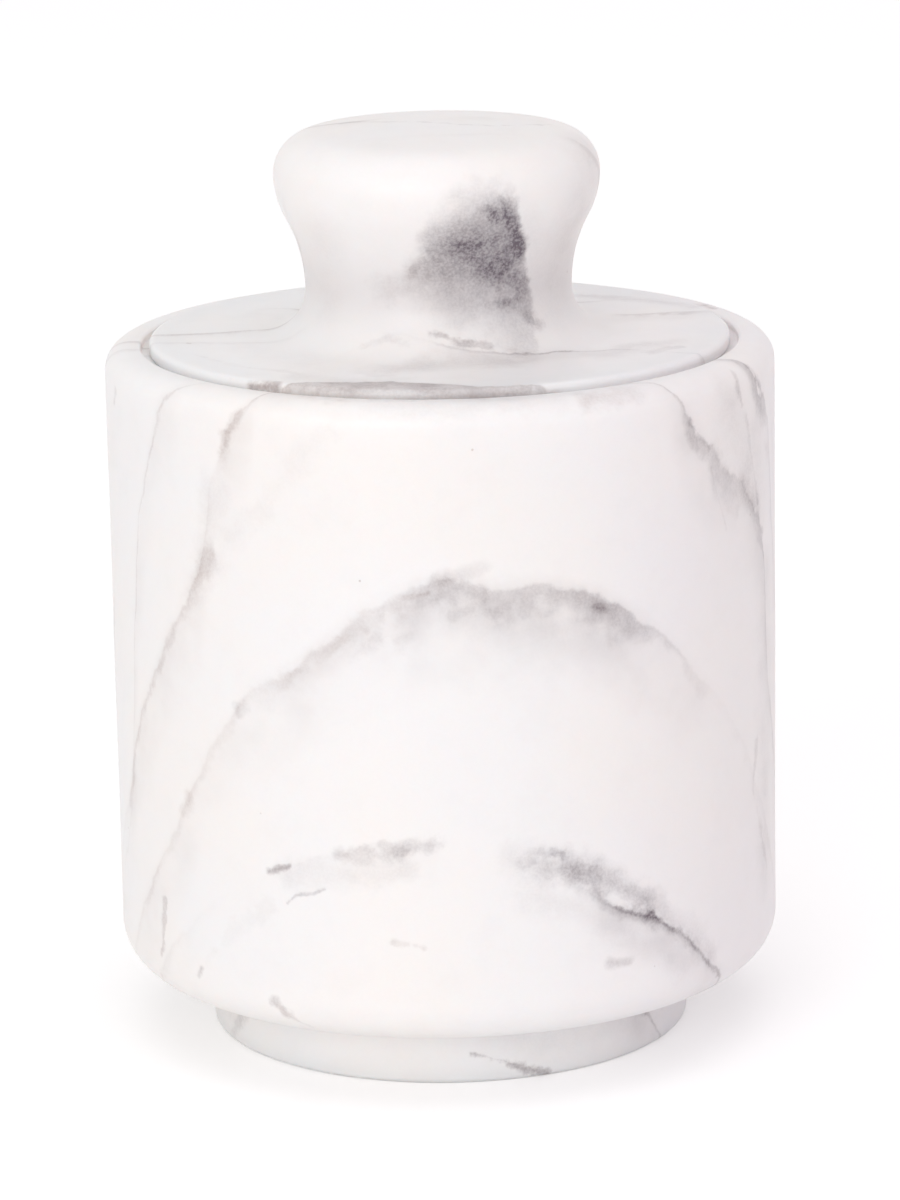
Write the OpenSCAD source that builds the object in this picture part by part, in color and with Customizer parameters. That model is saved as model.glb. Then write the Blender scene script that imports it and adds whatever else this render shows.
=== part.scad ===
// Salt cellar turned from white marble: a footed bowl and a lid with a waisted knob.
// The axis of both turned pieces is Z, and the foot stands on Z = 0.

/* [Bowl] */
// Outside diameter of the bowl
bowl_d = 100; // [90:0.5:115]
// Height of the drum from the top of the foot to the rim
drum_h = 95; // [60:0.5:120]
// Radius that softens the outer edge of the rim
rim_round = 3.4; // [1:0.1:4]
// Radius of the lower outer edge of the drum
drum_round = 6.5; // [2:0.1:9]
// Radius that softens the edge of the mouth
mouth_round = 0.5; // [0.2:0.1:0.8]

/* [Foot] */
// Height of the foot ring below the drum
foot_h = 10; // [4:0.5:16]
// How far the foot stands in from the side of the drum
foot_inset = 13.7; // [10:0.1:20]
// Radius that softens the edge the cellar stands on
foot_round = 0.8; // [0.3:0.1:1.5]

/* [Hollow] */
// Width of the rim that shows around the lid
rim_w = 5.4; // [4.5:0.1:8]
// Width of the ledge that the lid rests on
ledge_w = 4.6; // [3:0.1:8]
// Depth of the ledge below the rim
ledge_d = 1.2; // [1:0.1:4]
// Radius that softens the inner edge of the ledge
ledge_round = 0.6; // [0.2:0.1:1]
// Thickness of the floor of the drum, above the foot
floor_t = 8; // [5:0.5:14]
// Radius between the floor and the wall of the hollow
hollow_round = 8; // [3:0.5:12]

/* [Lid] */
// Height of the lid from the underside of its plug to its flat top
lid_t = 9; // [6:0.1:14]
// How far the lid disc stands above the rim
lid_proud = 1; // [0.5:0.1:2.5]
// Clearance all round between the lid disc and the mouth
lid_gap = 1.3; // [0.3:0.1:2]
// Radius that softens the upper edge of the lid disc, and half of it the lower one
lid_round = 0.8; // [0.3:0.1:0.9]
// Clearance all round between the plug under the lid and the hollow
plug_gap = 0.6; // [0.4:0.1:1.5]
// Radius that softens the lower edge of the plug
plug_round = 1; // [0.3:0.1:1.5]

/* [Knob] */
// Largest diameter of the knob
knob_d = 48.5; // [40:0.1:60]
// How far the waist stands in from the side of the knob
waist_inset = 4.4; // [1:0.1:8]
// Radius of the flare that joins the knob to the lid, which is also the waist's height
flare_round = 7; // [3:0.1:9]
// Radius of the hollow curve above the waist
waist_curve = 22.5; // [10:0.1:35]
// Radius of the full curve below the widest ring
belly_curve = 13.3; // [6:0.1:24]
// Radius of the shoulder from the widest ring to the top
crown_round = 6.1; // [3:0.1:9]
// Rise of the domed top above the end of a flat one
crown_rise = 1.2; // [0.4:0.1:2.5]

/* [Hidden] */
$fn = 128;
stone_white = [0.95, 0.94, 0.93];
stone_lid = [0.91, 0.90, 0.90];
// Overrun that carries a cut past the face it opens
cut_over = 1;

// Bowl, worked out from the sizes above
bowl_r = bowl_d / 2;
foot_r = bowl_r - foot_inset;
bowl_h = foot_h + drum_h;
mouth_r = bowl_r - rim_w;
hollow_r = mouth_r - ledge_w;
seat_z = bowl_h - ledge_d;
floor_z = foot_h + floor_t;
// The rounding of the rim never takes more than the rim is wide
rim_edge = min(rim_round, rim_w - mouth_round);

// Lid: the disc rests on the ledge, and a plug under it keeps it in the middle
lid_r = mouth_r - lid_gap;
lid_z = bowl_h + lid_proud;
plug_r = hollow_r - plug_gap;
plug_z = lid_z - lid_t;
low_round = lid_round / 2;

// Knob: the hollow curve has its centre outside the waist, the full curve its centre
// inside the widest ring, and the two touch where one turns into the other
knob_r = knob_d / 2;
waist_r = knob_r - waist_inset;
waist_z = lid_z + flare_round;
hollow_x = waist_r + waist_curve;
belly_x = knob_r - belly_curve;
belly_z = waist_z + sqrt(waist_inset * (2 * (waist_curve + belly_curve) - waist_inset));
turn_angle = atan2(belly_z - waist_z, belly_x - hollow_x);

// Domed top: a wide arc with its centre on the axis, which the shoulder runs into
crown_x = knob_r - crown_round;
knob_top = belly_z + crown_round + crown_rise;
dome_r = crown_round + (crown_x * crown_x + crown_rise * crown_rise) / (2 * crown_rise);
dome_z = knob_top - dome_r;
dome_angle = atan2(belly_z - dome_z, crown_x);

// Straight steps that each arc of the lid's outline is drawn with
arc_steps = 14;

// Rectangle of a turned outline, from radius r0 to r1 and from height z0 to z1
module band(r0, r1, z0, z1) {
    translate([r0, z0]) square([r1 - r0, z1 - z0]);
}

// What a rounding of radius r takes off the corner at (x, z); sx and sz point into the stone
module corner_off(x, z, r, sx, sz) {
    translate([x, z]) mirror([sx < 0 ? 1 : 0, 0]) mirror([0, sz < 0 ? 1 : 0])
        difference() {
            translate([-cut_over, -cut_over]) square(r + cut_over);
            translate([r, r]) circle(r);
        }
}

module bowl_outline() {
    difference() {
        union() {
            band(0, foot_r, 0, foot_h);
            band(0, bowl_r, foot_h, bowl_h);
        }
        corner_off(foot_r, 0, foot_round, -1, 1);
        corner_off(bowl_r, foot_h, drum_round, -1, 1);
        corner_off(bowl_r, bowl_h, rim_edge, -1, -1);
        corner_off(mouth_r, bowl_h, mouth_round, 1, -1);
        corner_off(hollow_r, seat_z, ledge_round, 1, -1);
        band(0, mouth_r, seat_z, bowl_h + cut_over);
        difference() {
            band(0, hollow_r, floor_z, seat_z + cut_over);
            corner_off(hollow_r, floor_z, hollow_round, -1, 1);
        }
    }
}

module bowl() {
    color(stone_white) rotate_extrude() bowl_outline();
}

// Points of an arc about (x, z); first = 1 leaves out a start that the arc before it has
function arc(x, z, r, start, end, first = 0) =
    [for (i = [first : arc_steps]) let (a = start + (end - start) * i / arc_steps)
        [x + r * cos(a), z + r * sin(a)]];

// Plug, disc with rounded edges, flare up to the waist, then the knob up to its domed top
function lid_points() = concat(
    [[0, plug_z]],
    arc(plug_r - plug_round, plug_z + plug_round, plug_round, -90, 0),
    [[plug_r, seat_z]],
    arc(lid_r - low_round, seat_z + low_round, low_round, -90, 0),
    arc(lid_r - lid_round, lid_z - lid_round, lid_round, 0, 90),
    arc(waist_r + flare_round, waist_z, flare_round, 270, 180),
    arc(hollow_x, waist_z, waist_curve, 180, turn_angle, 1),
    arc(belly_x, belly_z, belly_curve, turn_angle - 180, 0, 1),
    arc(crown_x, belly_z, crown_round, 0, dome_angle, 1),
    arc(0, dome_z, dome_r, dome_angle, 90, 1)
);

module lid() {
    color(stone_lid) rotate_extrude() polygon(lid_points());
}

bowl();
lid();
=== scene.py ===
import math

import bmesh
import bpy
from mathutils import Matrix, Vector, noise


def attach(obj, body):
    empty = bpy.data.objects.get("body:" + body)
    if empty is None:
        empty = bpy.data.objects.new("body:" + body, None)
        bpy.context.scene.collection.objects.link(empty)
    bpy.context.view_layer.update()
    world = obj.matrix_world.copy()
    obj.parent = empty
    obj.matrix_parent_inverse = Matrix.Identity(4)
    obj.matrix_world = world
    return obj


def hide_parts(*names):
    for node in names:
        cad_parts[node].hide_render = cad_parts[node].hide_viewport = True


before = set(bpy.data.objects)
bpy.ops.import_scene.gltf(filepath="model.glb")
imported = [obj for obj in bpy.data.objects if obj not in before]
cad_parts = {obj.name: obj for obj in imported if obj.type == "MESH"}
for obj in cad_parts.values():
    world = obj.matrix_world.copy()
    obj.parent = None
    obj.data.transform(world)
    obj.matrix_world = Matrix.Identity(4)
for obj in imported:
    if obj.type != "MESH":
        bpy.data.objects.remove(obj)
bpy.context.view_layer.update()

MM = 0.001
DEG = math.pi / 180

# Camera: where the photograph was taken from, worked out from the rim, the foot and the sides
CAMERA_DISTANCE = 784.3
CAMERA_RISE = 14.42
CAMERA_ROLL = 0.98
CAMERA_ORBIT_Z = 60.0
AIM_X = 0.9
AIM_Z = 64.5
SENSOR_MM = 36.0
FRAME_ASPECT = 0.75
LENS_MM = 155.3

# Light, at a level where a colour shows about as it is written
WHITE = (1.0, 1.0, 1.0, 1.0)
NEUTRAL = (1.0, 1.0, 1.0)
SKY_LEFT = (1.0, 0.992, 0.985, 1.0)
SKY_RIGHT = (1.04, 0.985, 1.02, 1.0)
SKY_STRENGTH = 0.69
LAMP_AIM = (0.0, 0.0, 0.06)
# Big flat lamps: name, width and height in metres, power, tint, place
LAMPS = [
    ("key", (2.4, 2.4), 46.5, NEUTRAL, (-1.56, -3.34, 0.95)),
    ("fill", (2.4, 0.7), 6.0, (1.0, 0.97, 0.985), (2.0, -2.95, 0.45)),
    ("top", (2.0, 2.0), 8.5, NEUTRAL, (0.0, -0.3, 2.6)),
]
FLOOR_SIZE = 40.0
FLOOR_COLOUR = (0.94, 0.94, 0.94, 1.0)
FLOOR_LIFT = 0.25

# Sizes of the turned pieces in millimetres, the same as the solids have
BOWL_R = 50.0
BOWL_H = 105.0
RIM_ROUND = 3.4
DRUM_ROUND = 6.5
MOUTH_ROUND = 0.5
FOOT_R = 36.3
FOOT_H = 10.0
FOOT_ROUND = 0.8
MOUTH_R = 44.6
SEAT_Z = 103.8
HOLLOW_R = 40.0
LEDGE_ROUND = 0.6
FLOOR_Z = 18.0
HOLLOW_ROUND = 8.0
LID_R = 43.3
LID_Z = 106.0
LID_ROUND = 0.8
LID_LOW_ROUND = 0.4
PLUG_R = 39.4
PLUG_Z = 97.0
PLUG_ROUND = 1.0
KNOB_R = 24.25
WAIST_INSET = 4.4
FLARE_ROUND = 7.0
WAIST_CURVE = 22.5
BELLY_CURVE = 13.3
CROWN_ROUND = 6.1
CROWN_RISE = 1.2

# Small radius in the inner corners of the meshes, which the solids leave sharp
CORNER = 0.3

# Fineness of the meshes, in millimetres apart from the counts
SPOKES = 224
STEP_MM = 2.2
ARC_STEP = 0.7
ARC_STEPS_LEAST = 5
SAME_POINT = 1e-4
ON_AXIS = 1e-6

# Hand turning leaves the surface very slightly uneven, but for the middle of the flat faces
UNEVEN_MM = 0.07
UNEVEN_SCALE = 0.045
EVEN_R = 1.0

# Stone. Places are in millimetres in the shared frame, so one block's veins run through both pieces
CURVE_SPAN = 120.0
SHIFT_MM = 16.0
STRENGTH_TOP = 1.5
WIDTH_TOP = 5.0
STONE_WARM = (0.915, 0.888, 0.868, 1.0)
STONE_COOL = (0.900, 0.890, 0.888, 1.0)
# Painted shade: a darker lilac laid on the right side of the stone, where the key lamp leaves it in
# shade
LILAC_PAINTED_SHADE = (0.868, 0.800, 0.832, 1.0)
# Grey of the stone's clouds and grain, and also of the painted shade at the knob's waist
GREY_STONE_AND_SHADE = (0.60, 0.56, 0.56, 1.0)
# Colours of veins and marks; the marks also lay them as painted shade on the right of the knob
VEIN_COOL = (0.110, 0.082, 0.108, 1.0)
VEIN_WARM = (0.36, 0.25, 0.21, 1.0)
STAIN_MOST = 0.95

# Noises: size of their forms in millimetres, detail, roughness. They vary about NOISE_MEAN
NOISE_MEAN = 0.5
DRIFT = (9.0, 3.0, 0.55)
JAG = (2.4, 4.0, 0.6)
GRAIN = (0.42, 2.0, 0.6)
PATCHY = (6.5, 4.0, 0.6)
SLOW = (34.0, 2.0, 0.5)
ROAM = (26.0, 2.0, 0.5)

# How far the noises drift and jag push an edge about, and how far roam does at the back
WOBBLE_DRIFT = 2.6
WOBBLE_JAG = 1.2
RAGGED_DRIFT = 4.0
RAGGED_JAG = 4.5
LOST_MM = 26.0

# Soft steps: where the step starts, where it ends, and what it gives there if that isn't 0 and 1
BACK_STEP = (-5.0, 25.0)
HIDDEN_STEP = (-14.0, 8.0)
AXIS_STEP = (5.0, 18.0)
CUT_STEP = (0.36, 0.60, 0.62, 1.15)
SPECK_STEP = (0.3, 0.7, 0.82, 1.18)
SPECKLE_STEP = (0.35, 0.65, 0.92, 1.08)
MIST_STEP = (0.35, 0.65, 0.55, 1.25)
LINE_STEP = (1.0, 0.0)
BAND_STEP = (-1.9, -0.2)
HALO_STEP = (1.5, -1.0)
FRONT_SIDE_STEP = (0.3, -0.25)
BACK_SIDE_STEP = (0.45, -0.35)
ROAM_STEP = (0.42, 0.56)
MARK_INSIDE = -0.1

# Shades of the plain stone and a painted shade: soft steps, and how much of each shade there is at
# most
COOL_STEP = (0.38, 0.62)
# The lilac painted shade: where it starts and ends towards the right, the slow clouds that break it
# up, and how much there is at most
LILAC_SHADE_SIDE_STEP = (8.0, 46.0)
LILAC_SHADE_SLOW_STEP = (0.30, 0.60, 0.55, 1.0)
LILAC_SHADE_MOST = 0.4
CLOUD_STEP = (0.45, 0.75)
CLOUD_MOST = 0.05
GRAIN_STEP = (0.2, 0.8)
GRAIN_MOST = 0.03

# Pits: how far apart, how wide as a share of that, how dark and how deep
PIT_APART = 11.0
PIT_STEP = (0.022, 0.008)
PIT_DARK = 0.35
PIT_DEPTH = 3.0

# Surface: gloss, bump in metres, and light that goes under the surface
GLOSS_STEP = (0.3, 0.7, 0.36, 0.46)
GLOSS_STAIN = 0.1
BUMP_GRAIN = 0.35
BUMP_JAG = 0.5
BUMP_STRENGTH = 0.35
BUMP_DISTANCE = 0.00008
STONE_IOR = 1.5
UNDER_WEIGHT = 0.5
UNDER_RADIUS = (1.0, 0.8, 0.7)
UNDER_SCALE = 0.005

# Sheets of vein through the block. plane: height on the axis, rise to the right, rise to the back.
# path: azimuth in degrees from the front, distance from the axis and height, where the sheet's
# sharp side is seen. strength, width and warm go by azimuth. core, band and halo say how dark the
# line is, the band on its inner side, and the wide haze beyond that. line is half the width of the
# line, and haze is how far the haze goes.
SHEETS = [
    {
        "plane": (-2.0, 0.22, -1.64),
        "path": [(-68, 50, 20.5), (-63, 50, 26.5), (-58, 50, 32), (-53, 50, 38), (-49, 50, 43.5),
                 (-45, 50, 49.2), (-41, 50, 54), (-36, 50, 59.6), (-30, 50, 63.8), (-24, 50, 67.5),
                 (-19, 50, 71), (-14, 50, 74), (-10, 50, 76.2), (-7, 50, 77.5), (-4, 50, 78.8),
                 (0, 50, 79.7), (4, 50, 79.3), (9, 50, 78.8), (16, 50, 78.4), (20, 50, 77.6),
                 (24, 50, 76.7), (27, 50, 75.7), (30, 50, 74), (34, 50, 71.4), (40, 50, 67),
                 (45, 50, 63), (50, 50, 59.5)],
        "strength": [(-120, 0.3), (-75, 0.2), (-66, 0.36), (-60, 0.5), (-53, 0.36), (-49, 0.44),
                     (-45, 0.28), (-41, 0.36), (-36, 0.44), (-31, 0.36), (-26, 0.55), (-22, 0.65),
                     (-17, 0.6), (-11, 0.55), (-6, 0.8), (-1, 0.9), (4, 0.8), (9, 0.75), (15, 0.78),
                     (20, 0.8), (26, 0.85), (31, 0.75), (37, 0.62), (42, 0.46), (47, 0.26),
                     (56, 0.1), (75, 0.2), (120, 0.3)],
        "width": [(-120, 0.9), (-66, 0.7), (-49, 0.8), (-30, 0.7), (-10, 0.9), (0, 1.4), (15, 1.4),
                  (26, 1.5), (34, 1.2), (45, 0.8), (120, 0.9)],
        "warm": [(-120, 0.6), (-25, 0.8), (-10, 0.6), (0, 0.25), (40, 0.1), (47, 0.4), (120, 0.3)],
        "line": 0.4, "core": 0.05, "band": 0.28, "haze": 9.0, "halo": 0.20,
    },
    {
        "plane": (-19.5, -0.09, -1.22),
        "path": [(-32, 50, 35), (-27, 50, 37), (-19, 50, 39), (-11, 50, 40.4), (-1, 50, 41.4),
                 (8, 50, 40), (15, 50, 37), (20, 50, 34), (24, 50, 32), (27, 50, 30.6),
                 (30, 50, 29), (34, 50, 27), (37.5, 50, 26), (40.5, 50, 24), (43, 50, 22.6),
                 (46.5, 50, 19.8), (49, 50, 17.5), (54.5, 49, 13)],
        "strength": [(-120, 0.3), (-60, 0.12), (-36, 0.0), (-20, 0.08), (-4, 0.08), (0, 0.0),
                     (20, 0.0), (22, 0.1), (25, 0.4), (28, 0.8), (31, 0.85), (33, 0.65), (35, 0.9),
                     (38, 0.95), (41, 0.8), (46, 0.7), (52, 0.65), (58, 0.45), (80, 0.3),
                     (120, 0.35)],
        "width": [(-120, 0.8), (10, 0.6), (24, 0.4), (28, 0.7), (35, 0.7), (42, 0.45), (53, 0.4),
                  (120, 0.8)],
        "warm": [(-120, 0.4), (10, 0.1), (60, 0.05), (120, 0.3)],
        "line": 0.45, "core": 0.34, "band": 0.30, "haze": 5.5, "halo": 0.20,
    },
    {
        "plane": (21.0, 0.29, -2.09),
        "path": [(-77, 50, 34), (-74, 50, 37.8), (-70, 50, 43), (-65, 50, 52), (-60, 50, 58.2),
                 (-57, 50, 63), (-53.5, 50, 67.3), (-50, 50, 71), (-46, 50, 76), (-43.5, 50, 82),
                 (-42, 50, 89), (-40.5, 50, 93.5), (-39, 50, 96.4), (-36.5, 50, 100.8),
                 (-33.5, 49, 104.2), (-31, 44, 106), (-28, 42, 106), (-19, 39.2, 106),
                 (-9, 38, 106), (2, 40, 106), (11, 42.6, 106), (19, 43.4, 106), (30, 44.5, 105),
                 (38, 46, 105), (41.5, 49, 104), (42.8, 50, 102.3), (44.3, 50, 100.6),
                 (46.3, 50, 98.1), (48, 50, 96.5), (50.5, 50, 94.7), (54, 50, 91.8),
                 (58.5, 50, 88.7), (63, 50, 84.9), (66.7, 50, 81.7), (69.5, 50, 79), (71, 50, 75.5),
                 (72, 50, 69), (73, 50, 62), (74.5, 50, 54)],
        "strength": [(-120, 0.3), (-77, 0.1), (-73, 0.15), (-69, 0.45), (-63, 0.45), (-57, 0.5),
                     (-51, 0.5), (-47, 0.45), (-44.5, 0.35), (-42.5, 0.14), (-41, 0.12), (-39, 0.4),
                     (-35, 0.5), (-32, 0.5), (-30, 1.0), (-14, 1.1), (0, 1.25), (12, 1.15),
                     (18, 1.0), (22, 0.4), (30, 0.2), (37, 0.32), (41, 0.45), (43.5, 0.6),
                     (47, 0.6), (50, 0.45), (54, 0.4), (64, 0.4), (68, 0.55), (72, 0.5), (74, 0.3),
                     (90, 0.4), (120, 0.3)],
        "width": [(-120, 0.9), (-60, 0.6), (-50, 0.5), (-46, 0.9), (-43, 1.2), (-38, 0.9),
                  (-34, 0.7), (-30, 1.6), (-19, 3.6), (-9, 4.2), (2, 3.4), (11, 2.2), (19, 1.3),
                  (25, 0.6), (38, 0.5), (46, 0.9), (56, 1.4), (66, 1.0), (72, 0.5), (80, 0.8),
                  (120, 0.8)],
        "warm": [(-120, 0.6), (-34, 0.75), (-28, 0.35), (18, 0.3), (40, 0.3), (50, 0.1), (80, 0.1),
                 (120, 0.3)],
        "line": 0.4, "core": 0.14, "band": 0.36, "haze": 7.0, "halo": 0.22,
    },
    {
        "plane": (33.0, 0.43, -2.69),
        "path": [(-78, 50, 26), (-71, 50, 38), (-68, 50, 50), (-66.5, 50, 63), (-65, 50, 71),
                 (-64, 50, 77), (-62, 50, 83.5), (-59.5, 50, 90), (-57.5, 50, 94.5),
                 (-55.5, 50, 99.5), (-53.5, 50, 103), (-50, 48.5, 104.6), (-46, 44, 105),
                 (-38, 28, 106), (-34, 23, 107), (-22, 21, 109), (0, 21.7, 108.4), (8, 22.4, 107.6),
                 (22, 23.4, 106.9), (36, 24.8, 106.3), (50, 26.9, 106), (58, 31, 106),
                 (61, 41, 105), (64, 46, 105), (65.3, 48.3, 104.4), (67, 50, 102), (70.5, 50, 99.6),
                 (73.3, 50, 96), (76, 50, 88), (80, 50, 74)],
        "strength": [(-120, 0.3), (-74, 0.1), (-70, 0.15), (-66, 0.4), (-58, 0.4), (-54, 0.36),
                     (-50, 0.3), (-46, 0.04), (-30, 0.04), (-22, 0.08), (-8, 0.08), (0, 0.25),
                     (8, 0.45), (16, 0.4), (24, 0.45), (32, 0.75), (45, 0.8), (50, 0.5), (57, 0.32),
                     (60, 0.3), (63, 0.6), (67, 0.7), (71, 0.6), (73, 0.35), (76, 0.25), (85, 0.3),
                     (120, 0.3)],
        "width": [(-120, 0.8), (-60, 0.35), (-40, 0.3), (0, 0.3), (50, 0.35), (61, 0.7), (66, 1.8),
                  (71, 1.8), (76, 0.9), (120, 0.8)],
        "warm": [(-120, 0.7), (0, 0.4), (50, 0.1), (80, 0.05), (120, 0.3)],
        "line": 0.3, "core": 0.20, "band": 0.34, "haze": 5.5, "halo": 0.18,
    },
]

# Sheets that are not seen from the front: what they look like and their share of cool and warm
# stain, then plane and strength of each
BACK_LOOK = {"line": 0.4, "core": 0.10, "band": 0.34, "haze": 6.5, "halo": 0.12}
BACK_TINT = (0.6, 0.4, 0.0)
BACK_SHEETS = [
    ((62.0, 0.2, -2.1), 0.9),
    ((92.0, -0.1, -1.7), 0.75),
    ((118.0, 0.25, -1.9), 0.9),
    ((150.0, 0.1, -2.2), 0.8),
]

# Short marks: points (azimuth, distance from the axis, height), half width, strength, warmth,
# raggedness. Most are veins and stains; the wide one on the right of the knob is painted shade
BOWL_MARKS = [
    ([(-57, 50, 26.5), (-58.5, 50, 19), (-61.5, 49, 12)], 0.8, 0.26, 0.5, 0.7),
    ([(-31, 50, 15.5), (-28, 49, 13), (-25, 48, 11.7)], 0.9, 0.36, 0.4, 0.6),
    ([(-31.4, 50, 35.2), (-29.5, 50, 35.8), (-27.2, 50, 36.5)], 0.9, 0.60, 0.3, 0.4),
    ([(-28, 50, 30.8), (-26.2, 50, 32.2), (-23.2, 50, 32.7), (-21, 50, 33.6)], 0.4, 0.32, 0.2, 0.3),
    ([(-31, 50, 30), (-40, 50, 24), (-46, 50, 19.5)], 1.6, 0.05, 0.7, 1.2),
    ([(-18.4, 50, 39), (-14, 50, 39.2)], 1.6, 0.23, 0.3, 0.9),
    ([(-18.4, 50, 38.9), (-17, 50, 39)], 0.8, 0.16, 0.5, 0.4),
    ([(-10, 50, 40.2), (-7.9, 50, 40.1), (-4.6, 50, 40.6), (-1.3, 50, 41.1)], 1.6, 0.20, 0.2, 0.9),
    ([(-8.2, 50, 40), (-7.1, 50, 40)], 1.0, 0.14, 0.2, 0.6),
    ([(-27, 50, 35.5), (-18, 50, 36.3), (-8, 50, 37.6)], 3.6, 0.11, 0.15, 1.0),
    ([(-9.5, 50, 26.3), (-6.9, 50, 26)], 0.7, 0.20, 0.8, 0.5),
    ([(-5.9, 50, 25.9), (-4.4, 50, 25.5)], 0.7, 0.24, 0.6, 0.5),
    ([(27.7, 50, 21), (31.6, 50, 20.4)], 1.1, 0.24, 0.2, 0.4),
    ([(-47, 50, 18), (-47.8, 50, 16.6)], 0.9, 0.34, 0.4, 0.4),
    ([(-36.8, 50, 58.8), (-36, 50, 59.4)], 1.5, 0.22, 0.4, 0.7),
    ([(-49, 50, 43.5), (-50.5, 50, 41.5)], 1.3, 0.16, 0.8, 0.8),
    ([(-34.8, 49.8, 102.6), (-36.6, 50, 100.6)], 1.2, 0.30, 0.6, 0.9),
    ([(-37.8, 50, 98.8), (-39, 50, 96.4)], 1.3, 0.26, 0.8, 0.9),
    ([(-42.2, 50, 81.5), (-45.5, 50, 76.6)], 2.0, 0.18, 0.85, 0.9),
    ([(-41, 50, 91), (-42.5, 50, 84), (-46, 50, 75)], 4.0, 0.08, 0.5, 1.4),
    ([(-19, 50, 101), (-30.7, 50, 90), (-41, 50, 80)], 3.6, 0.06, 0.6, 1.4),
    ([(-13.5, 50, 70.5), (-11, 50, 71.5)], 1.8, 0.10, 0.3, 1.2),
    ([(-31, 50, 61.5), (-22, 50, 67), (-13, 50, 72.5)], 3.0, 0.08, 0.4, 1.0),
    ([(-7.5, 50, 71), (-5, 50, 72.4)], 1.8, 0.10, 0.3, 1.0),
    ([(-1.5, 50, 79.6), (-0.9, 50, 78.4)], 1.6, 0.17, 0.4, 0.8),
    ([(-0.5, 50, 80.2), (3.5, 50, 81), (6.6, 50, 81.6)], 1.7, 0.18, 0.3, 0.5),
    ([(6.9, 50, 78.5), (6.7, 50, 76.6)], 1.3, 0.14, 0.1, 0.7),
    ([(1, 50, 74.7), (4.3, 50, 75.6)], 1.0, 0.10, 0.1, 0.7),
    ([(-6.4, 50, 77.4), (-2.5, 50, 78.1)], 0.5, 0.26, 0.7, 0.4),
    ([(22.8, 50, 75.7), (26.4, 50, 74.5), (31, 50, 72)], 2.4, 0.08, 0.1, 0.7),
    ([(25.7, 50, 74.4), (26.9, 50, 74.1)], 1.3, 0.34, 0.2, 0.3),
    ([(-1, 50, 76), (12, 50, 73), (30, 50, 69)], 5.0, 0.06, 0.1, 1.2),
    ([(15.5, 50, 39.1), (17.4, 50, 38.7), (19.1, 50, 38.3)], 1.0, 0.26, 0.0, 0.6),
    ([(13.5, 50, 37.8), (17.4, 50, 36.5), (20.5, 50, 35.9), (23.7, 50, 35)], 2.2, 0.22, 0.1, 0.8),
    ([(25.2, 50, 34.3), (28.2, 50, 33.1), (31.3, 50, 31.5), (35, 50, 29.5)],
     2.3, 0.18, 0.0, 0.8),
    ([(14, 50, 33), (22, 50, 29.5), (30, 50, 25.5), (36, 50, 22), (43, 50, 17)],
     4.4, 0.07, 0.0, 1.2),
    ([(20, 50, 36.8), (28, 50, 33.4), (36, 50, 28.8), (46, 50, 21.5), (50, 50, 18)],
     3.4, 0.17, 0.05, 0.9),
    ([(12, 50, 38.4), (20, 50, 36.2), (27, 50, 32.6)], 4.2, 0.12, 0.05, 1.0),
    ([(25, 50, 31.6), (30, 50, 29), (34, 50, 27.2), (41, 50, 23.8), (46, 50, 20)],
     1.4, 0.16, 0.0, 1.0),
    ([(45.5, 50, 98.8), (47.8, 50, 96.7)], 0.9, 0.24, 0.0, 0.7),
    ([(49.1, 50, 95.6), (50.5, 50, 94.5)], 0.8, 0.20, 0.3, 0.7),
    ([(51.9, 50, 93.7), (54.2, 50, 91.2), (56.8, 50, 89)], 2.0, 0.08, 0.1, 1.2),
    ([(60.7, 50, 87.7), (66.2, 50, 83.1)], 2.2, 0.13, 0.4, 1.0),
    ([(67.7, 50, 80.4), (70.5, 50, 78.2)], 0.8, 0.20, 0.1, 0.6),
    ([(51, 50, 91.3), (51.8, 50, 88.8), (53.6, 50, 85.3), (55.4, 50, 81.7)], 0.6, 0.13, 0.3, 0.5),
    ([(59.9, 49, 103.8), (59.3, 50, 102), (61.1, 50, 99)], 0.7, 0.28, 0.2, 0.5),
    ([(62.7, 50, 97.1), (64.4, 50, 91.7), (66.7, 50, 86.5), (67.7, 50, 83.3)], 0.6, 0.12, 0.2, 0.5),
    ([(65.8, 49.1, 103.8), (67.1, 50, 102), (69.4, 50, 100)], 1.3, 0.38, 0.0, 0.8),
    ([(57, 50, 99), (63, 50, 92), (68, 50, 82)], 7.0, 0.14, 0.05, 1.0),
    ([(72, 50, 72), (72, 50, 50), (71, 50, 26)], 6.0, 0.10, 0.05, 1.2),
    ([(67, 50, 47), (65, 50, 40), (69, 50, 33), (73, 50, 26)], 0.8, 0.14, 0.4, 0.7),
    ([(-72.5, 50, 101), (-73.5, 50, 99)], 0.9, 0.20, 0.0, 0.6),
    ([(25, 48.5, 104.4), (34, 48.5, 104.4)], 2.8, 0.22, 0.7, 1.0),
    ([(-12, 48.5, 104.4), (2, 48.5, 104.4), (20, 48.5, 104.4)], 2.4, 0.06, 0.5, 1.2),
    ([(114, 46, 105), (118, 46, 105)], 1.2, 0.35, 0.4, 0.5),
    ([(4.5, 36.3, 4.7), (8, 36.3, 4), (12, 36.3, 3.2), (16, 36.3, 1.9), (23, 36.3, 0.4)],
     0.8, 0.46, 0.1, 0.6),
    ([(9, 36.3, 9), (20, 36.3, 6), (34, 36.3, 5), (50, 36.3, 5), (80, 36.3, 5)],
     4.6, 0.06, 0.0, 1.0),
    ([(50, 36.3, 7), (62, 36.3, 7)], 2.4, 0.12, 0.2, 1.2),
    ([(-59, 36.3, 5.5), (-65, 36.3, 1.5)], 1.6, 0.22, 0.2, 0.8),
    ([(-66, 36.3, 5), (-90, 36.3, 5)], 4.0, 0.12, 0.2, 1.0),
]

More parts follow.
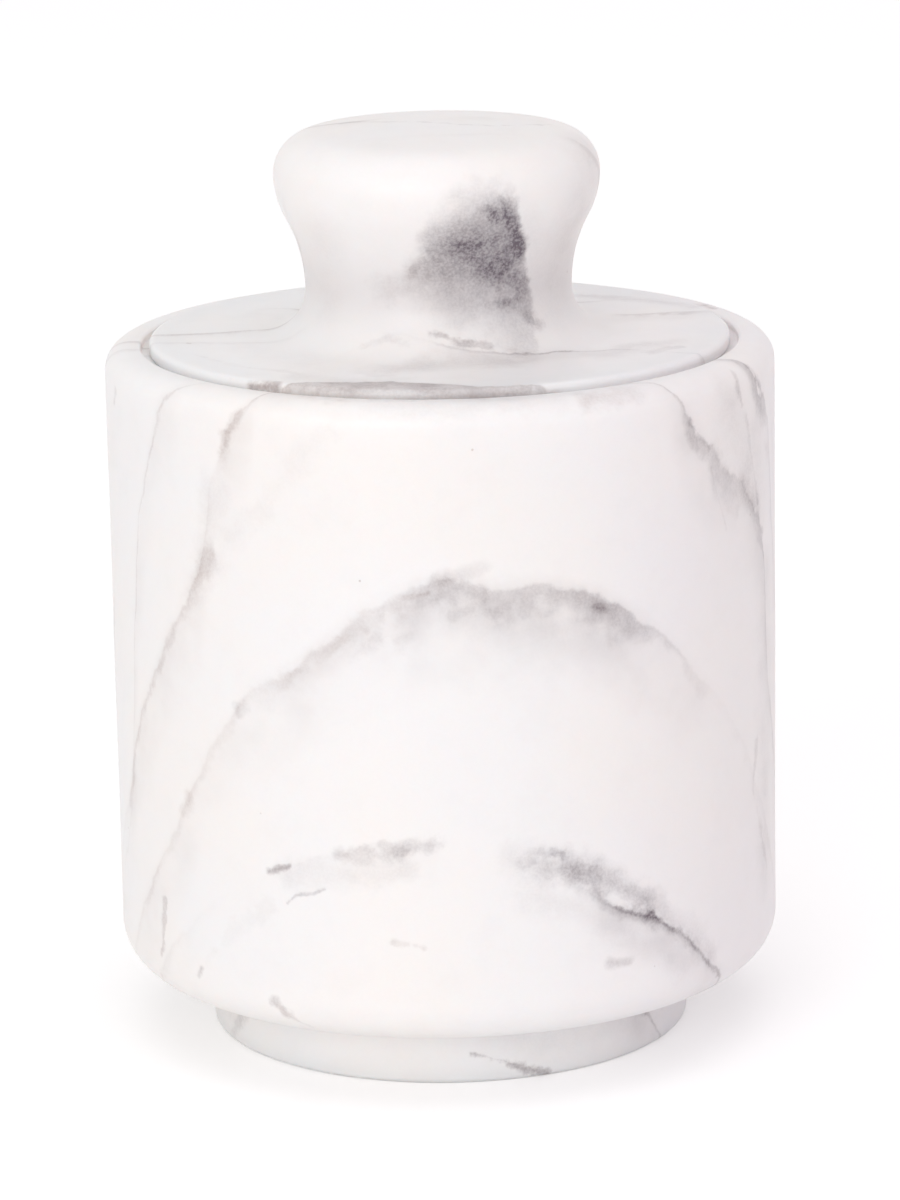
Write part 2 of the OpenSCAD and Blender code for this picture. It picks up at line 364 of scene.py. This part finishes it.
LID_MARKS_AND_SHADE = [
    ([(-36, 36, 106), (-50, 38, 106), (-68, 39, 106)], 0.9, 0.08, 0.6, 0.8),
    ([(-30, 22, 107.3), (-22, 21.3, 108.8), (-12, 22, 108)], 1.0, 0.10, 0.4, 0.9),
    ([(58, 36, 106), (66, 38, 106)], 1.2, 0.16, 0.2, 0.8),
    ([(-14, 29, 106), (0, 27, 106), (22, 27, 106)], 6.5, 0.17, 0.3, 1.8),
    ([(50, 32, 106), (66, 34, 106)], 4.5, 0.09, 0.2, 1.4),
    ([(-70, 30, 106), (-30, 33, 106)], 6.0, 0.03, 0.5, 1.4),
    ([(140, 34.5, 106), (125, 38, 106), (112, 42, 106)], 2.6, 0.16, 0.3, 1.2),
    ([(-150, 41, 106), (-170, 41.5, 106), (170, 41, 106)], 2.0, 0.12, 0.3, 1.0),
    ([(-110, 14, 137), (-102, 7, 137.3), (-81, 2, 137.5), (53, 5, 137.4), (69, 9.5, 137.2),
      (86, 13, 136.9), (95, 17, 136.4)], 0.6, 0.14, 0.2, 0.7),
    ([(-80, 37.5, 106), (-80.5, 37.9, 106)], 0.3, 0.5, 0.6, 0.1),
    ([(-38.5, 43.3, 105), (-35.5, 43.2, 105.2), (-33, 43.1, 105.3)], 1.4, 0.64, 0.3, 0.4),
    ([(-26, 43.3, 105.3), (-20, 43.3, 105.2)], 1.3, 0.16, 0.3, 1.0),
    ([(1.5, 43.3, 105), (5, 43.3, 105)], 1.1, 0.16, 0.4, 1.0),
    ([(13, 43.3, 105), (18, 43.3, 105)], 1.2, 0.14, 0.3, 1.0),
    ([(-17, 42.6, 105.4), (-8, 42.4, 105.4), (2, 42.6, 105.4)], 1.6, 0.26, 0.4, 0.7),
    ([(-32, 38, 106), (-20, 38.5, 106), (-8, 36, 106)], 3.4, 0.08, 0.3, 1.2),
    ([(62, 31, 106), (72, 36, 106)], 3.4, 0.08, 0.1, 1.2),
    # Painted shade: this wide faint mark darkens the right side of the knob, away from the key lamp
    ([(72, 24, 134), (62, 22.5, 124), (60, 20.5, 114)], 8.0, 0.10, 0.1, 0.8),
    ([(-50, 22, 123), (-56, 20.5, 115)], 7.0, 0.06, 0.8, 0.8),
    ([(-6, 20.6, 118.6), (-17, 20.2, 117.2), (-24, 20.1, 116.4)], 3.2, 0.13, 0.4, 1.2),
    ([(-11, 20.6, 118.8), (-12, 20.5, 118.2)], 1.0, 0.16, 0.4, 0.8),
    ([(13, 24, 128), (15, 22.1, 123.5)], 1.2, 0.10, 0.0, 0.9),
    ([(1, 21.5, 121.6), (9, 21.8, 122), (17, 21.2, 120.7)], 1.8, 0.16, 0.0, 1.2),
    ([(22.5, 24.2, 129.4), (25.5, 23.9, 127), (30, 22.8, 124), (34.5, 21.4, 121)],
     1.5, 0.26, 0.0, 0.9),
    ([(18.5, 24, 128.2), (21.5, 23.7, 126.5)], 2.0, 0.34, 0.0, 0.9),
    ([(35, 20.4, 117.5), (38, 20, 114), (42, 20.3, 111)], 2.1, 0.22, 0.05, 0.9),
    ([(31, 19.9, 113.2), (37, 20, 111.6), (44, 20.7, 109.5)], 1.5, 0.24, 0.1, 0.9),
    ([(-4, 20.7, 109.7), (2, 20.9, 109.3), (8, 21.8, 108.2), (19, 22.4, 107.6)],
     0.9, 0.34, 0.3, 0.6),
]

# The cloudy grey patch on the front of the knob: centre, half lengths and strength of its parts,
# the plane that ends it sharply on the right, and the noise and soft steps in it
PATCH_PARTS = [
    ((7.0, -20.5, 123.5), (9.0, 10.0, 10.0), 0.42),
    ((12.0, -17.0, 115.5), (6.0, 10.0, 13.5), 0.27),
    ((4.0, -20.5, 118.0), (9.0, 10.0, 8.5), 0.32),
]
PATCH_TINT = (1.0, 0.0, 0.0)
PATCH_EDGE = (0.99, 0.0, 0.12)
PATCH_EDGE_AT = 26.9
PATCH_EDGE_JAG = 2.0
PATCH_EDGE_STEP = (0.5, -0.4, 0.12, 1.0)
PATCH_DRIFT = 0.8
PATCH_JAG = 0.5
PATCH_STEP = (1.15, 0.35)
PATCH_PATCHY_STEP = (0.35, 0.65, 0.84, 1.14)
PATCH_JAG_STEP = (0.35, 0.65, 0.88, 1.12)

# Painted shade: the narrow waist of the knob, a recess under its belly, is painted a little greyer
WAIST_Z = 115.0
WAIST_REACH = 9.0
WAIST_R_STEP = (27.0, 21.0)
WAIST_PAINTED_SHADE = 0.36


def run(points, end):
    """Adds evenly spaced points on the straight line from the last point to end."""
    start = points[-1]
    length = math.dist(start, end)
    steps = max(1, round(length / STEP_MM))
    for i in range(1, steps + 1):
        share = i / steps
        points.append(tuple(a + (b - a) * share for a, b in zip(start, end)))


def bend(points, centre, radius, start, end):
    """Adds the points of an arc, from angle start to angle end in degrees."""
    steps = max(ARC_STEPS_LEAST, round(abs(end - start) * DEG * radius / ARC_STEP))
    for i in range(steps + 1):
        angle = (start + (end - start) * i / steps) * DEG
        point = (centre[0] + radius * math.cos(angle), centre[1] + radius * math.sin(angle))
        if math.dist(points[-1], point) > SAME_POINT:
            points.append(point)


def bowl_outline():
    """Half section of the bowl, from the axis at the foot round to the axis at the floor."""
    line = [(0.0, 0.0)]
    run(line, (FOOT_R - FOOT_ROUND, 0.0))
    bend(line, (FOOT_R - FOOT_ROUND, FOOT_ROUND), FOOT_ROUND, -90, 0)
    run(line, (FOOT_R, FOOT_H - CORNER))
    bend(line, (FOOT_R + CORNER, FOOT_H - CORNER), CORNER, 180, 90)
    run(line, (BOWL_R - DRUM_ROUND, FOOT_H))
    bend(line, (BOWL_R - DRUM_ROUND, FOOT_H + DRUM_ROUND), DRUM_ROUND, -90, 0)
    run(line, (BOWL_R, BOWL_H - RIM_ROUND))
    bend(line, (BOWL_R - RIM_ROUND, BOWL_H - RIM_ROUND), RIM_ROUND, 0, 90)
    run(line, (MOUTH_R + MOUTH_ROUND, BOWL_H))
    bend(line, (MOUTH_R + MOUTH_ROUND, BOWL_H - MOUTH_ROUND), MOUTH_ROUND, 90, 180)
    run(line, (MOUTH_R, SEAT_Z + CORNER))
    bend(line, (MOUTH_R - CORNER, SEAT_Z + CORNER), CORNER, 0, -90)
    run(line, (HOLLOW_R + LEDGE_ROUND, SEAT_Z))
    bend(line, (HOLLOW_R + LEDGE_ROUND, SEAT_Z - LEDGE_ROUND), LEDGE_ROUND, 90, 180)
    run(line, (HOLLOW_R, FLOOR_Z + HOLLOW_ROUND))
    bend(line, (HOLLOW_R - HOLLOW_ROUND, FLOOR_Z + HOLLOW_ROUND), HOLLOW_ROUND, 0, -90)
    run(line, (0.0, FLOOR_Z))
    return line


def lid_outline():
    """Half section of the lid, from the axis under the plug round to the top of the knob."""
    waist_r = KNOB_R - WAIST_INSET
    waist_z = LID_Z + FLARE_ROUND
    hollow_x = waist_r + WAIST_CURVE
    belly_x = KNOB_R - BELLY_CURVE
    belly_z = waist_z + math.sqrt(WAIST_INSET * (2 * (WAIST_CURVE + BELLY_CURVE) - WAIST_INSET))
    turn = math.degrees(math.atan2(belly_z - waist_z, belly_x - hollow_x))
    crown_x = KNOB_R - CROWN_ROUND
    dome_r = CROWN_ROUND + (crown_x**2 + CROWN_RISE**2) / (2 * CROWN_RISE)
    dome_z = belly_z + CROWN_ROUND + CROWN_RISE - dome_r
    dome_angle = math.degrees(math.atan2(belly_z - dome_z, crown_x))
    line = [(0.0, PLUG_Z)]
    run(line, (PLUG_R - PLUG_ROUND, PLUG_Z))
    bend(line, (PLUG_R - PLUG_ROUND, PLUG_Z + PLUG_ROUND), PLUG_ROUND, -90, 0)
    run(line, (PLUG_R, SEAT_Z - CORNER))
    bend(line, (PLUG_R + CORNER, SEAT_Z - CORNER), CORNER, 180, 90)
    run(line, (LID_R - LID_LOW_ROUND, SEAT_Z))
    bend(line, (LID_R - LID_LOW_ROUND, SEAT_Z + LID_LOW_ROUND), LID_LOW_ROUND, -90, 0)
    run(line, (LID_R, LID_Z - LID_ROUND))
    bend(line, (LID_R - LID_ROUND, LID_Z - LID_ROUND), LID_ROUND, 0, 90)
    run(line, (waist_r + FLARE_ROUND, LID_Z))
    bend(line, (waist_r + FLARE_ROUND, waist_z), FLARE_ROUND, 270, 180)
    bend(line, (hollow_x, waist_z), WAIST_CURVE, 180, turn)
    bend(line, (belly_x, belly_z), BELLY_CURVE, turn - 180, 0)
    bend(line, (crown_x, belly_z), CROWN_ROUND, 0, dome_angle)
    bend(line, (0.0, dome_z), dome_r, dome_angle, 90)
    line[-1] = (0.0, line[-1][1])
    return line


def placed(name, data):
    """New object in the scene that shows this data."""
    thing = bpy.data.objects.new(name, data)
    bpy.context.collection.objects.link(thing)
    return thing


def turned(name, line):
    """Mesh turned from a half section whose two ends lie on the axis."""
    mesh = bpy.data.meshes.new(name)
    form = bmesh.new()
    rings = []
    for radius, height in line:
        if radius < ON_AXIS:
            rings.append([form.verts.new((0.0, 0.0, height))])
            continue
        ring = []
        for i in range(SPOKES):
            angle = 2 * math.pi * i / SPOKES
            spot = (radius * math.cos(angle), radius * math.sin(angle), height)
            ring.append(form.verts.new(spot))
        rings.append(ring)
    for low, high in zip(rings, rings[1:]):
        for i in range(SPOKES):
            j = (i + 1) % SPOKES
            if len(low) == 1:
                form.faces.new((low[0], high[i], high[j]))
            elif len(high) == 1:
                form.faces.new((low[i], high[0], low[j]))
            else:
                form.faces.new((low[i], high[i], high[j], low[j]))
    bmesh.ops.recalc_face_normals(form, faces=form.faces)
    form.normal_update()
    for vert in form.verts:
        swell = noise.noise(vert.co * UNEVEN_SCALE) * UNEVEN_MM
        outward = Vector((vert.co.x, vert.co.y, 0.0))
        if outward.length > EVEN_R:
            vert.co += outward.normalized() * swell
    bmesh.ops.scale(form, vec=(MM, MM, MM), verts=form.verts)
    form.to_mesh(mesh)
    form.free()
    mesh.shade_smooth()
    return placed(name, mesh)


def camera():
    """Camera at the photograph's place, aim and tilt."""
    rise = CAMERA_RISE * DEG
    back = -CAMERA_DISTANCE * math.cos(rise)
    up = CAMERA_ORBIT_Z + CAMERA_DISTANCE * math.sin(rise)
    place = Vector((0.0, back, up))
    aim = Vector((AIM_X, 0.0, AIM_Z))
    data = bpy.data.cameras.new("camera")
    data.sensor_fit = "VERTICAL"
    data.sensor_height = SENSOR_MM
    data.sensor_width = SENSOR_MM * FRAME_ASPECT
    data.lens = LENS_MM
    eye = placed("camera", data)
    turn = (aim - place).to_track_quat("-Z", "Y").to_matrix().to_4x4()
    tilt = Matrix.Rotation(-CAMERA_ROLL * DEG, 4, "Z")
    eye.matrix_world = Matrix.Translation(place * MM) @ turn @ tilt
    bpy.context.scene.camera = eye


class Field:
    """A value made by a material's nodes, with arithmetic, so that a pattern reads as a formula."""

    def __init__(self, tree, out):
        self.tree = tree
        self.out = out

    def do(self, operation, *others):
        """The result of a Math node on this value and the others."""
        node = self.tree.nodes.new("ShaderNodeMath")
        node.operation = operation
        for slot, value in zip(node.inputs, (self,) + others):
            feed(self.tree, value, slot)
        return Field(self.tree, node.outputs[0])

    def __add__(self, other):
        return self.do("ADD", other)

    def __sub__(self, other):
        return self.do("SUBTRACT", other)

    def __mul__(self, other):
        return self.do("MULTIPLY", other)

    def __truediv__(self, other):
        return self.do("DIVIDE", other)

    def smooth(self, start, end, low=0.0, high=1.0):
        """low where the value is at start, high where it is at end, and a soft step between."""
        node = self.tree.nodes.new("ShaderNodeMapRange")
        node.interpolation_type = "SMOOTHSTEP"
        node.clamp = False
        feed(self.tree, self, node.inputs["Value"])
        names = ("From Min", "From Max", "To Min", "To Max")
        for name, value in zip(names, (start, end, low, high)):
            feed(self.tree, value, node.inputs[name])
        return Field(self.tree, node.outputs["Result"])

    def clamped(self):
        """Held between 0 and 1."""
        node = self.tree.nodes.new("ShaderNodeClamp")
        feed(self.tree, self, node.inputs["Value"])
        return Field(self.tree, node.outputs[0])


def feed(tree, value, slot):
    """Puts a field, a vector or a number into a node's input."""
    if isinstance(value, Field):
        tree.links.new(value.out, slot)
    elif isinstance(value, bpy.types.NodeSocket):
        tree.links.new(value, slot)
    else:
        slot.default_value = value


def vector(tree, operation, *values):
    """The result of a vector node: a vector, or a field for DOT_PRODUCT, LENGTH and DISTANCE."""
    node = tree.nodes.new("ShaderNodeVectorMath")
    node.operation = operation
    slots = (node.inputs[0], node.inputs["Scale"]) if operation == "SCALE" else node.inputs
    for slot, value in zip(slots, values):
        feed(tree, value, slot)
    if operation in ("DOT_PRODUCT", "LENGTH", "DISTANCE"):
        return Field(tree, node.outputs["Value"])
    return node.outputs["Vector"]


def combined(tree, *fields):
    """Vector of two or three fields."""
    node = tree.nodes.new("ShaderNodeCombineXYZ")
    for slot, field in zip(node.inputs, fields):
        feed(tree, field, slot)
    return node.outputs[0]


def parts(tree, value):
    """The fields x, y and z of a vector."""
    node = tree.nodes.new("ShaderNodeSeparateXYZ")
    feed(tree, value, node.inputs[0])
    return [Field(tree, out) for out in node.outputs]


def mixed(tree, share, first, second):
    """Colour between two, by share."""
    node = tree.nodes.new("ShaderNodeMix")
    node.data_type = "RGBA"
    feed(tree, share, node.inputs["Factor"])
    feed(tree, first, node.inputs["A"])
    feed(tree, second, node.inputs["B"])
    return node.outputs["Result"]


def clouds(tree, local, size, detail, rough):
    """Noise with forms of about size millimetres; local is in metres."""
    node = tree.nodes.new("ShaderNodeTexNoise")
    feed(tree, local, node.inputs["Vector"])
    node.inputs["Scale"].default_value = 1.0 / (size * MM)
    node.inputs["Detail"].default_value = detail
    node.inputs["Roughness"].default_value = rough
    return Field(tree, node.outputs[0])


def curve(tree, turn, stations, low, high):
    """A smooth curve through stations (azimuth, value), read at turn, 0 to 1 over its azimuths."""
    node = tree.nodes.new("ShaderNodeFloatCurve")
    line = node.mapping.curves[0]
    spots = []
    for at, value in stations:
        spots.append(((at + CURVE_SPAN) / (2 * CURVE_SPAN), (value - low) / (high - low)))
    if spots[0][0] > 0.0:
        spots.insert(0, (0.0, spots[0][1]))
    if spots[-1][0] < 1.0:
        spots.append((1.0, spots[-1][1]))
    line.points[0].location = spots[0]
    line.points[1].location = spots[-1]
    for spot in spots[1:-1]:
        line.points.new(*spot)
    for point in line.points:
        point.handle_type = "AUTO_CLAMPED"
    node.mapping.update()
    feed(tree, turn, node.inputs["Value"])
    return Field(tree, node.outputs[0]) * (high - low) + low


def polar(azimuth, radius, height):
    """The place at an azimuth in degrees from the front, positive to the right."""
    return Vector((radius * math.sin(azimuth * DEG), -radius * math.cos(azimuth * DEG), height))


def sheet_normal(plane):
    """Upward normal of a plane: height on the axis, rise to the right, rise to the back."""
    right, back = plane[1:]
    return Vector((-right, -back, 1.0)).normalized()


def stroke_group():
    """Node group: distance from a place to the straight piece from Start to Start + Span."""
    tree = bpy.data.node_groups.new("stroke", "ShaderNodeTree")
    face = tree.interface
    for name in ("Place", "Start", "Span", "Gauge"):
        face.new_socket(name=name, in_out="INPUT", socket_type="NodeSocketVector")
    face.new_socket(name="Distance", in_out="OUTPUT", socket_type="NodeSocketFloat")
    into = tree.nodes.new("NodeGroupInput")
    out = tree.nodes.new("NodeGroupOutput")
    place, start, span, gauge = into.outputs[:4]
    away = vector(tree, "SUBTRACT", place, start)
    share = vector(tree, "DOT_PRODUCT", away, gauge).clamped()
    gap = vector(tree, "DISTANCE", away, vector(tree, "SCALE", span, share))
    tree.links.new(gap.out, out.inputs[0])
    return tree


def stroke(tree, group, place, points):
    """Distance from a place to a line through points (azimuth, distance from the axis, height)."""
    spots = [polar(*point) for point in points]
    nearest = None
    for start, end in zip(spots, spots[1:]):
        node = tree.nodes.new("ShaderNodeGroup")
        node.node_tree = group
        span = end - start
        feed(tree, place, node.inputs["Place"])
        node.inputs["Start"].default_value = start
        node.inputs["Span"].default_value = span
        node.inputs["Gauge"].default_value = span / span.length_squared
        gap = Field(tree, node.outputs[0])
        nearest = gap if nearest is None else nearest.do("MINIMUM", gap)
    return nearest


class Block:
    """Place, noises and soft masks that every pattern in one marble is made from."""

    def __init__(self, tree):
        self.tree = tree
        local = tree.nodes.new("ShaderNodeTexCoord").outputs["Object"]
        self.local = local
        self.drift = clouds(tree, local, *DRIFT)
        self.jag = clouds(tree, local, *JAG)
        self.grain = clouds(tree, local, *GRAIN)
        self.patchy = clouds(tree, local, *PATCHY)
        self.slow = clouds(tree, local, *SLOW)
        self.roam = clouds(tree, local, *ROAM)

        # The same place in millimetres
        self.x, self.y, self.z = parts(tree, vector(tree, "SCALE", local, 1.0 / MM))
        self.spot = combined(tree, self.x, self.y, self.z)
        self.radius = (self.x * self.x + self.y * self.y).do("SQRT")
        azimuth = self.x.do("ARCTAN2", self.y * -1.0) * (1.0 / DEG)
        self.turn = (azimuth + CURVE_SPAN) / (2 * CURVE_SPAN)
        back = self.y.smooth(*BACK_STEP)

        self.wobble = self.push(WOBBLE_DRIFT, WOBBLE_JAG)
        self.lost = (self.roam - NOISE_MEAN) * back * LOST_MM
        self.hidden = self.y.smooth(*HIDDEN_STEP)
        self.cut = self.patchy.smooth(*CUT_STEP)
        self.speck = self.grain.smooth(*SPECK_STEP)
        self.speckle = self.speck * self.jag.smooth(*SPECKLE_STEP)
        self.mist = self.drift.smooth(*MIST_STEP)

    def push(self, by_drift, by_jag):
        """How far the noises push an edge about, for these shares of the two."""
        return (self.drift - NOISE_MEAN) * by_drift + (self.jag - NOISE_MEAN) * by_jag

    def beyond(self, plane):
        """Distance above a plane through the block, before it is shifted and pushed about."""
        normal = sheet_normal(plane)
        return vector(self.tree, "DOT_PRODUCT", self.spot, tuple(normal)) - normal.z * plane[0]

    def vein(self, away, width, side_step, look):
        """Darkness of a sheet: a thin line, a band on its inner side, and a wide haze beyond."""
        line = (away.do("ABSOLUTE") / look["line"]).smooth(*LINE_STEP) * look["core"]
        side = away.smooth(*side_step)
        band = (away / width + self.wobble).smooth(*BAND_STEP) * side * look["band"]
        halo = away.smooth(-look["haze"], 0.0) * away.smooth(*HALO_STEP) * look["halo"]
        return (line + band) * self.cut * self.speckle + halo * self.mist


def added(tree, stain, dark, tint):
    """A stain with more darkness in it; x of a stain is its cool part and y its warm part."""
    return vector(tree, "ADD", vector(tree, "SCALE", tint, dark), stain)


def front_sheets(block, stain):
    """Adds the sheets of vein whose paths are known from the front."""
    tree = block.tree
    for sheet in SHEETS:
        normal = sheet_normal(sheet["plane"])
        level = normal.z * sheet["plane"][0]
        stations = [(-CURVE_SPAN, 0.0)]
        stations += [(point[0], polar(*point).dot(normal) - level) for point in sheet["path"]]
        stations += [(CURVE_SPAN, 0.0)]
        shift = curve(tree, block.turn, stations, -SHIFT_MM, SHIFT_MM)
        shift = shift * block.radius.smooth(*AXIS_STEP)
        strength = curve(tree, block.turn, sheet["strength"], 0.0, STRENGTH_TOP)
        width = curve(tree, block.turn, sheet["width"], 0.0, WIDTH_TOP)
        away = block.beyond(sheet["plane"]) - shift + block.wobble + block.lost
        dark = block.vein(away, width, FRONT_SIDE_STEP, sheet) * strength
        warmth = dark * curve(tree, block.turn, sheet["warm"], 0.0, 1.0)
        stain = vector(tree, "ADD", combined(tree, dark - warmth, warmth), stain)
    return stain


def back_sheets(block, stain):
    """Adds the sheets of vein that are seen only from behind and from the sides."""
    for plane, amount in BACK_SHEETS:
        away = block.beyond(plane) + block.wobble + block.lost
        dark = block.vein(away, 1.0, BACK_SIDE_STEP, BACK_LOOK)
        dark = dark * block.roam.smooth(*ROAM_STEP) * block.hidden * amount
        stain = added(block.tree, stain, dark, BACK_TINT)
    return stain


def short_marks(block, marks, group, stain):
    """Adds the short marks."""
    tree = block.tree
    ragged = block.push(RAGGED_DRIFT, RAGGED_JAG)
    short = (0.0, 0.0, 0.0)
    for points, half, amount, warm, rough in marks:
        near = stroke(tree, group, block.spot, points) + ragged * rough
        dark = near.smooth(half, half * MARK_INSIDE)
        short = added(tree, short, dark, (amount * (1.0 - warm), amount * warm, 0.0))
    return added(tree, stain, block.speckle * block.cut, short)


def grey_patch(block, stain):
    """Adds the cloudy patch on the front of the knob."""
    tree = block.tree
    edge = vector(tree, "DOT_PRODUCT", block.spot, PATCH_EDGE) - PATCH_EDGE_AT
    edge = edge + (block.jag - NOISE_MEAN) * PATCH_EDGE_JAG
    ended = edge.smooth(*PATCH_EDGE_STEP)
    salt = block.patchy.smooth(*PATCH_PATCHY_STEP) * block.jag.smooth(*PATCH_JAG_STEP) * block.speck
    for centre, halves, amount in PATCH_PARTS:
        shrunk = vector(tree, "DIVIDE", vector(tree, "SUBTRACT", block.spot, centre), halves)
        reach = vector(tree, "LENGTH", shrunk) + (block.drift - NOISE_MEAN) * PATCH_DRIFT
        reach = reach + (block.jag - NOISE_MEAN) * PATCH_JAG
        dark = reach.smooth(*PATCH_STEP) * ended * salt * amount
        stain = added(tree, stain, dark, PATCH_TINT)
    return stain


def plain_stone(block, knob):
    """Colour of the stone between its veins, with painted shade: lilac and darker on the right
    side, and greyer where a knob narrows above the lid.
    """
    tree = block.tree
    white = mixed(tree, block.slow.smooth(*COOL_STEP), STONE_WARM, STONE_COOL)
    # Painted shade: the right side, away from the key lamp, turns lilac and darker, broken up by
    # slow clouds
    right = block.x.smooth(*LILAC_SHADE_SIDE_STEP) * block.slow.smooth(*LILAC_SHADE_SLOW_STEP)
    white = mixed(tree, right * LILAC_SHADE_MOST, white, LILAC_PAINTED_SHADE)
    white = mixed(tree, block.patchy.smooth(*CLOUD_STEP) * CLOUD_MOST, white, GREY_STONE_AND_SHADE)
    white = mixed(tree, block.grain.smooth(*GRAIN_STEP) * GRAIN_MOST, white, GREY_STONE_AND_SHADE)
    if knob:
        # Painted shade: grey in the recess of the knob's waist, under its belly
        level = (block.z - WAIST_Z).do("ABSOLUTE").smooth(WAIST_REACH, 0.0)
        waist_shade = level * block.radius.smooth(*WAIST_R_STEP)
        white = mixed(tree, waist_shade * WAIST_PAINTED_SHADE, white, GREY_STONE_AND_SHADE)
    return white


def marble(name, marks, group, knob):
    """White marble cut from one block: sheets of vein, short marks, clouds, grain and pits, with
    some painted shade.
    """
    stone = bpy.data.materials.new(name)
    stone.use_nodes = True
    tree = stone.node_tree
    shader = tree.nodes["Principled BSDF"]
    block = Block(tree)

    stain = front_sheets(block, (0.0, 0.0, 0.0))
    stain = back_sheets(block, stain)
    stain = short_marks(block, marks, group, stain)
    if knob:
        stain = grey_patch(block, stain)
    cool, warm = parts(tree, stain)[:2]
    white = plain_stone(block, knob)
    colour = mixed(tree, cool.do("MINIMUM", STAIN_MOST), white, VEIN_COOL)
    colour = mixed(tree, warm.do("MINIMUM", STAIN_MOST), colour, VEIN_WARM)

    cells = tree.nodes.new("ShaderNodeTexVoronoi")
    cells.feature = "F1"
    feed(tree, block.local, cells.inputs["Vector"])
    cells.inputs["Scale"].default_value = 1.0 / (PIT_APART * MM)
    pit = Field(tree, cells.outputs["Distance"]).smooth(*PIT_STEP)
    feed(tree, mixed(tree, pit * PIT_DARK, colour, VEIN_WARM), shader.inputs["Base Color"])

    gloss = block.jag.smooth(*GLOSS_STEP)
    feed(tree, gloss + (cool + warm) * GLOSS_STAIN, shader.inputs["Roughness"])
    bump = tree.nodes.new("ShaderNodeBump")
    bump.inputs["Strength"].default_value = BUMP_STRENGTH
    bump.inputs["Distance"].default_value = BUMP_DISTANCE
    height = block.grain * BUMP_GRAIN + block.jag * BUMP_JAG - pit * PIT_DEPTH
    feed(tree, height, bump.inputs["Height"])
    feed(tree, bump.outputs[0], shader.inputs["Normal"])
    shader.inputs["IOR"].default_value = STONE_IOR
    shader.inputs["Subsurface Weight"].default_value = UNDER_WEIGHT
    shader.inputs["Subsurface Radius"].default_value = UNDER_RADIUS
    shader.inputs["Subsurface Scale"].default_value = UNDER_SCALE
    return stone


def seen_directly(tree):
    """1 for rays that show a thing as it is: from the camera, in a mirror or through glass."""
    path = tree.nodes.new("ShaderNodeLightPath")
    names = ("Is Camera Ray", "Is Glossy Ray", "Is Transmission Ray")
    straight, mirrored, through = (Field(tree, path.outputs[name]) for name in names)
    return (straight + mirrored + through).clamped()


def lamp(name, size, power, tint, place):
    """Big flat lamp that faces the middle of the cellar."""
    data = bpy.data.lights.new(name, "AREA")
    data.shape = "RECTANGLE"
    data.size, data.size_y = size
    data.energy = power
    data.color = tint
    light = placed(name, data)
    light.location = place
    way = Vector(LAMP_AIM) - Vector(place)
    light.rotation_euler = way.to_track_quat("-Z", "Y").to_euler()


def sky():
    """World that lights softly, a touch pinker on the right, and shows as plain white."""
    world = bpy.data.worlds.new("studio")
    bpy.context.scene.world = world
    world.use_nodes = True
    tree = world.node_tree
    tree.nodes.clear()
    way = tree.nodes.new("ShaderNodeTexCoord")
    side = parts(tree, way.outputs["Generated"])[0]
    light = tree.nodes.new("ShaderNodeBackground")
    light.inputs["Strength"].default_value = SKY_STRENGTH
    feed(tree, mixed(tree, side.smooth(-1.0, 1.0), SKY_LEFT, SKY_RIGHT), light.inputs["Color"])
    white = tree.nodes.new("ShaderNodeBackground")
    white.inputs["Color"].default_value = WHITE
    white.inputs["Strength"].default_value = 1.0
    mix = tree.nodes.new("ShaderNodeMixShader")
    out = tree.nodes.new("ShaderNodeOutputWorld")
    feed(tree, seen_directly(tree), mix.inputs[0])
    feed(tree, light.outputs[0], mix.inputs[1])
    feed(tree, white.outputs[0], mix.inputs[2])
    feed(tree, mix.outputs[0], out.inputs[0])


def pale_floor():
    """Wide pale floor that looks a little lighter than it lights."""
    mesh = bpy.data.meshes.new("floor")
    half = FLOOR_SIZE / 2
    corners = [(-half, -half, 0), (half, -half, 0), (half, half, 0), (-half, half, 0)]
    mesh.from_pydata(corners, [], [(0, 1, 2, 3)])
    floor = placed("floor", mesh)
    paint = bpy.data.materials.new("floor_white")
    paint.use_nodes = True
    tree = paint.node_tree
    tree.nodes.clear()
    matt = tree.nodes.new("ShaderNodeBsdfDiffuse")
    matt.inputs["Color"].default_value = FLOOR_COLOUR
    lift = tree.nodes.new("ShaderNodeEmission")
    lift.inputs["Color"].default_value = WHITE
    feed(tree, seen_directly(tree) * FLOOR_LIFT, lift.inputs["Strength"])
    both = tree.nodes.new("ShaderNodeAddShader")
    out = tree.nodes.new("ShaderNodeOutputMaterial")
    feed(tree, matt.outputs[0], both.inputs[0])
    feed(tree, lift.outputs[0], both.inputs[1])
    feed(tree, both.outputs[0], out.inputs[0])
    mesh.materials.append(paint)


def studio():
    """Soft sky, three big soft lamps and a pale floor."""
    sky()
    for values in LAMPS:
        lamp(*values)
    pale_floor()


strokes = stroke_group()

bowl = turned("bowl_stone", bowl_outline())
bowl.data.materials.append(marble("bowl_marble", BOWL_MARKS, strokes, knob=False))
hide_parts("bowl")
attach(bowl, "bowl")

lid = turned("lid_stone", lid_outline())
lid.data.materials.append(marble("lid_marble", LID_MARKS_AND_SHADE, strokes, knob=True))
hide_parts("lid")
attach(lid, "lid")

camera()
studio()
bpy.context.scene.view_settings.view_transform = "Standard"
